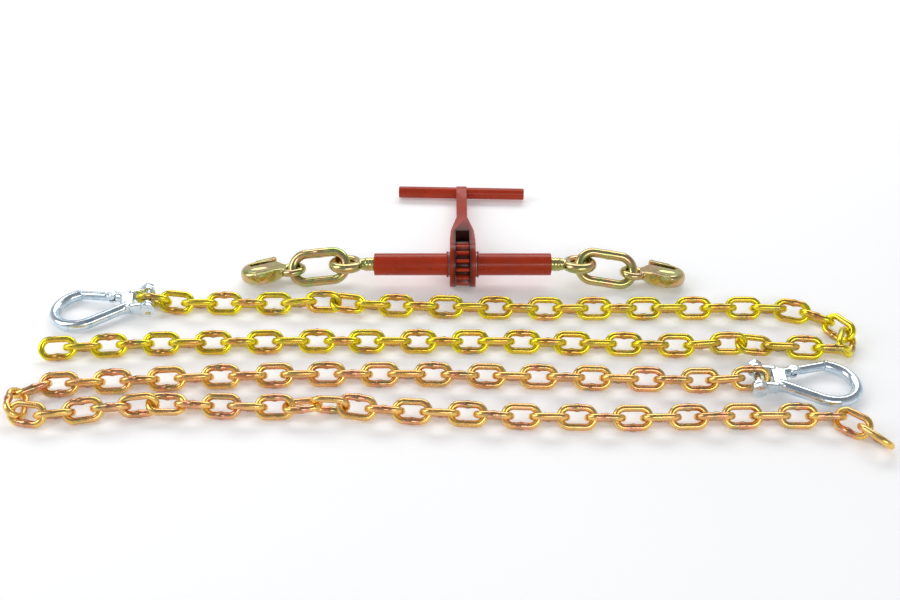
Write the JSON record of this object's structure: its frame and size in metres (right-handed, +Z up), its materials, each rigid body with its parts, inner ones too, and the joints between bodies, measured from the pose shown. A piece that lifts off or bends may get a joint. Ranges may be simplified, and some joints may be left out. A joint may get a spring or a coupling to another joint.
{
  "type": "load binder chain",
  "caption": "Ratchet load binder with folding handle, grab hooks on coupling links, and two welded chains ending in gated snap hooks, laid out flat.",
  "frame": {"origin": "centre of the base of the whole kit on the surface that it lies on", "axes": "+X along the chains and the barrel, +Y from the chains to the handle, +Z up"},
  "size_m": [0.9842, 0.5434, 0.058],
  "materials": {
    "red_paint": "gloss",
    "plain_steel": "satin",
    "yellow_zinc": "satin",
    "bright_zinc": "gloss",
    "chain_1_zinc": "gloss",
    "chain_2_zinc": "gloss"
  },
  "bodies": {
    "frame": {"thrust_washer_left": "plain_steel", "thrust_washer_right": "plain_steel"},
    "barrel": {"barrel": "red_paint", "ratchet_gear": "red_paint", "collar_left": "red_paint", "collar_right": "red_paint"},
    "handle": {"handle_yoke": "red_paint", "grip_bar": "red_paint", "pawl_pin": "plain_steel", "detent_spring": "plain_steel"},
    "pawl": {"pawl": "plain_steel"},
    "detent": {"detent_plunger": "plain_steel"},
    "screw_left": {"eye_screw_left": "yellow_zinc"},
    "coupling_left": {"coupling_link_left": "yellow_zinc"},
    "hook_left": {"grab_hook_left": "yellow_zinc"},
    "screw_right": {"eye_screw_right": "yellow_zinc"},
    "coupling_right": {"coupling_link_right": "yellow_zinc"},
    "hook_right": {"grab_hook_right": "yellow_zinc"},
    "chain_1_turn": {"chain_1_turn": "chain_1_zinc"},
    "chain_1_run_c": {"chain_1_run_c": "chain_1_zinc"},
    "chain_1_run_b": {"chain_1_run_b": "chain_1_zinc"},
    "chain_1_run_a": {"chain_1_run_a": "chain_1_zinc"},
    "chain_1_second_link": {"chain_1_second_link": "chain_1_zinc"},
    "chain_1_first_link": {"chain_1_first_link": "chain_1_zinc"},
    "chain_1_run_d": {"chain_1_run_d": "chain_1_zinc"},
    "chain_1_run_e": {"chain_1_run_e": "chain_1_zinc"},
    "chain_1_run_f": {"chain_1_run_f": "chain_1_zinc"},
    "chain_1_end_link": {"chain_1_end_link": "chain_1_zinc"},
    "chain_1_snap": {"chain_1_snap_body": "bright_zinc", "chain_1_gate_pin": "bright_zinc", "chain_1_gate_spring": "plain_steel", "chain_1_clevis_bolt": "bright_zinc", "chain_1_clevis_nut": "bright_zinc"},
    "chain_1_gate": {"chain_1_snap_gate": "bright_zinc"},
    "chain_2_turn": {"chain_2_turn": "chain_2_zinc"},
    "chain_2_run_c": {"chain_2_run_c": "chain_2_zinc"},
    "chain_2_run_b": {"chain_2_run_b": "chain_2_zinc"},
    "chain_2_run_a": {"chain_2_run_a": "chain_2_zinc"},
    "chain_2_second_link": {"chain_2_second_link": "chain_2_zinc"},
    "chain_2_first_link": {"chain_2_first_link": "chain_2_zinc"},
    "chain_2_run_d": {"chain_2_run_d": "chain_2_zinc"},
    "chain_2_run_e": {"chain_2_run_e": "chain_2_zinc"},
    "chain_2_run_f": {"chain_2_run_f": "chain_2_zinc"},
    "chain_2_end_link": {"chain_2_end_link": "chain_2_zinc"},
    "chain_2_snap": {"chain_2_snap_body": "bright_zinc", "chain_2_gate_pin": "bright_zinc", "chain_2_gate_spring": "plain_steel", "chain_2_clevis_bolt": "bright_zinc", "chain_2_clevis_nut": "bright_zinc"},
    "chain_2_gate": {"chain_2_snap_gate": "bright_zinc"}
  },
  "joints": [
    {"name": "barrel_spin", "type": "hinge", "parent": "frame", "child": "barrel", "pos_m": [0.02107, 0.05383, 0.02915], "axis": [1, 0, 0], "range_deg": [0, 6480]},
    {"name": "screw_left_slide", "type": "slide", "parent": "frame", "child": "screw_left", "axis": [-1, 0, 0], "range_m": [0, 0.0762]},
    {"name": "coupling_left_swing", "type": "hinge", "parent": "screw_left", "child": "coupling_left", "pos_m": [-0.12693, 0.05383, 0.02915], "axis": [-0.0676, 0.7139, 0.697], "range_deg": [0, 42]},
    {"name": "hook_left_swing", "type": "hinge", "parent": "coupling_left", "child": "hook_left", "pos_m": [-0.19575, 0.05883, 0.01735], "axis": [-0.0676, 0.7139, 0.697], "range_deg": [0, 13]},
    {"name": "screw_right_slide", "type": "slide", "parent": "frame", "child": "screw_right", "axis": [1, 0, 0], "range_m": [0, 0.0762]},
    {"name": "coupling_right_swing", "type": "hinge", "parent": "screw_right", "child": "coupling_right", "pos_m": [0.16907, 0.05383, 0.02915], "axis": [-0.1396, -0.7034, -0.697], "range_deg": [0, 42]},
    {"name": "hook_right_swing", "type": "hinge", "parent": "coupling_right", "child": "hook_right", "pos_m": [0.23804, 0.05183, 0.01735], "axis": [-0.1396, -0.7034, -0.697], "range_deg": [0, 13]},
    {"name": "handle_swing", "type": "hinge", "parent": "frame", "child": "handle", "pos_m": [0.02107, 0.05383, 0.02915], "axis": [1, 0, 0], "range_deg": [0, 154.29]},
    {"name": "pawl_flip", "type": "hinge", "parent": "handle", "child": "pawl", "pos_m": [0.02107, 0.09764, 0.02508], "axis": [1, 0, 0], "range_deg": [-10.5, 10.5]},
    {"name": "detent_slide", "type": "slide", "parent": "handle", "child": "detent", "axis": [0, 0.9957, -0.0925], "range_m": [0, 0.0015], "stiffness_N_per_m": 400, "springref_m": -0.002},
    {"name": "chain_1_lift", "type": "slide", "parent": "frame", "child": "chain_1_turn", "axis": [0, 0, 1], "range_m": [0, 0.22]},
    {"name": "chain_1_run_c_swing", "type": "hinge", "parent": "chain_1_turn", "child": "chain_1_run_c", "pos_m": [0.40703, -0.01751, 0.01205], "axis": [-0.0018, 0.7071, 0.7071], "range_deg": [0, 35]},
    {"name": "chain_1_run_b_swing", "type": "hinge", "parent": "chain_1_run_c", "child": "chain_1_run_b", "pos_m": [0.16317, -0.01794, 0.01205], "axis": [-0.0042, 0.7071, 0.7071], "range_deg": [0, 35]},
    {"name": "chain_1_run_a_swing", "type": "hinge", "parent": "chain_1_run_b", "child": "chain_1_run_a", "pos_m": [-0.0804, -0.01079, 0.01205], "axis": [0.0346, 0.7063, 0.7071], "range_deg": [0, 35]},
    {"name": "chain_1_second_link_swing", "type": "hinge", "parent": "chain_1_run_a", "child": "chain_1_second_link", "pos_m": [-0.324, -0.00717, 0.01205], "axis": [0, 0.7071, -0.7071], "range_deg": [0, 45]},
    {"name": "chain_1_first_link_swing", "type": "hinge", "parent": "chain_1_second_link", "child": "chain_1_first_link", "pos_m": [-0.3436, -0.00512, 0.01375], "axis": [0.0742, 0.4945, -0.866], "range_deg": [0, 45]},
    {"name": "chain_1_run_d_swing", "type": "hinge", "parent": "chain_1_turn", "child": "chain_1_run_d", "pos_m": [0.40518, -0.09417, 0.01205], "axis": [0.0525, 0.7052, 0.7071], "range_deg": [0, 35]},
    {"name": "chain_1_run_e_swing", "type": "hinge", "parent": "chain_1_run_d", "child": "chain_1_run_e", "pos_m": [0.13095, -0.0861, 0.01205], "axis": [0.0267, 0.7066, 0.7071], "range_deg": [0, 35]},
    {"name": "chain_1_run_f_swing", "type": "hinge", "parent": "chain_1_run_e", "child": "chain_1_run_f", "pos_m": [-0.11271, -0.0834, 0.01205], "axis": [0.0028, 0.7071, 0.7071], "range_deg": [0, 35]},
    {"name": "chain_1_end_link_swing", "type": "hinge", "parent": "chain_1_run_f", "child": "chain_1_end_link", "pos_m": [-0.44814, -0.09575, 0.01205], "axis": [-0.0573, 0.7048, -0.7071], "range_deg": [0, 45]},
    {"name": "chain_1_snap_swing", "type": "hinge", "parent": "chain_1_first_link", "child": "chain_1_snap", "pos_m": [-0.36993, -0.00117, 0.01375], "axis": [-0.1736, 0.9848, 0], "range_deg": [0, 60]},
    {"name": "chain_1_gate_swing", "type": "hinge", "parent": "chain_1_snap", "child": "chain_1_gate", "pos_m": [-0.41625, 0.00865, 0.01092], "axis": [-0.0635, -0.0112, 0.9979], "range_deg": [0, 22], "stiffness_Nm_per_rad": 0.2, "springref_deg": -28.65},
    {"name": "chain_2_lift", "type": "slide", "parent": "frame", "child": "chain_2_turn", "axis": [0, 0, 1], "range_m": [0, 0.22]},
    {"name": "chain_2_run_c_swing", "type": "hinge", "parent": "chain_2_turn", "child": "chain_2_run_c", "pos_m": [-0.4206, -0.16113, 0.01205], "axis": [0.0439, -0.7057, -0.7071], "range_deg": [0, 35]},
    {"name": "chain_2_run_b_swing", "type": "hinge", "parent": "chain_2_run_c", "child": "chain_2_run_b", "pos_m": [-0.1774, -0.14609, 0.01205], "axis": [0.029, -0.7065, -0.7071], "range_deg": [0, 35]},
    {"name": "chain_2_run_a_swing", "type": "hinge", "parent": "chain_2_run_b", "child": "chain_2_run_a", "pos_m": [0.06623, -0.14824, 0.01205], "axis": [-0.0226, -0.7067, -0.7071], "range_deg": [0, 35]},
    {"name": "chain_2_second_link_swing", "type": "hinge", "parent": "chain_2_run_a", "child": "chain_2_second_link", "pos_m": [0.30979, -0.15549, 0.01205], "axis": [0.0086, -0.7071, -0.7071], "range_deg": [0, 45]},
    {"name": "chain_2_first_link_swing", "type": "hinge", "parent": "chain_2_second_link", "child": "chain_2_first_link", "pos_m": [0.32945, -0.15489, 0.01375], "axis": [0.027, -0.9996, 0], "range_deg": [0, 10]},
    {"name": "chain_2_run_d_swing", "type": "hinge", "parent": "chain_2_turn", "child": "chain_2_run_d", "pos_m": [-0.23034, -0.20145, 0.01205], "axis": [-0.0375, -0.7061, -0.7071], "range_deg": [0, 35]},
    {"name": "chain_2_run_e_swing", "type": "hinge", "parent": "chain_2_run_d", "child": "chain_2_run_e", "pos_m": [0.04335, -0.21553, 0.01205], "axis": [-0.0508, -0.7053, -0.7071], "range_deg": [0, 35]},
    {"name": "chain_2_run_f_swing", "type": "hinge", "parent": "chain_2_run_e", "child": "chain_2_run_f", "pos_m": [0.2869, -0.21851, 0.01205], "axis": [0.023, -0.7067, -0.7071], "range_deg": [0, 35]},
    {"name": "chain_2_end_link_swing", "type": "hinge", "parent": "chain_2_run_f", "child": "chain_2_end_link", "pos_m": [0.46008, -0.24218, 0.01205], "axis": [-0.4791, -0.5201, -0.7071], "range_deg": [0, 45]},
    {"name": "chain_2_snap_swing", "type": "hinge", "parent": "chain_2_first_link", "child": "chain_2_snap", "pos_m": [0.35607, -0.15417, 0.01375], "axis": [-0.0349, -0.9994, 0], "range_deg": [0, 60]},
    {"name": "chain_2_gate_swing", "type": "hinge", "parent": "chain_2_snap", "child": "chain_2_gate", "pos_m": [0.40057, -0.138, 0.01092], "axis": [-0.0644, 0.0022, -0.9979], "range_deg": [0, 22], "stiffness_Nm_per_rad": 0.2, "springref_deg": -28.65}
  ],
  "couplings": [
    {"joint": "screw_left_slide", "follows": "barrel_spin", "m_per_rad": 0.00067375},
    {"joint": "screw_right_slide", "follows": "barrel_spin", "m_per_rad": 0.00067375}
  ]
}
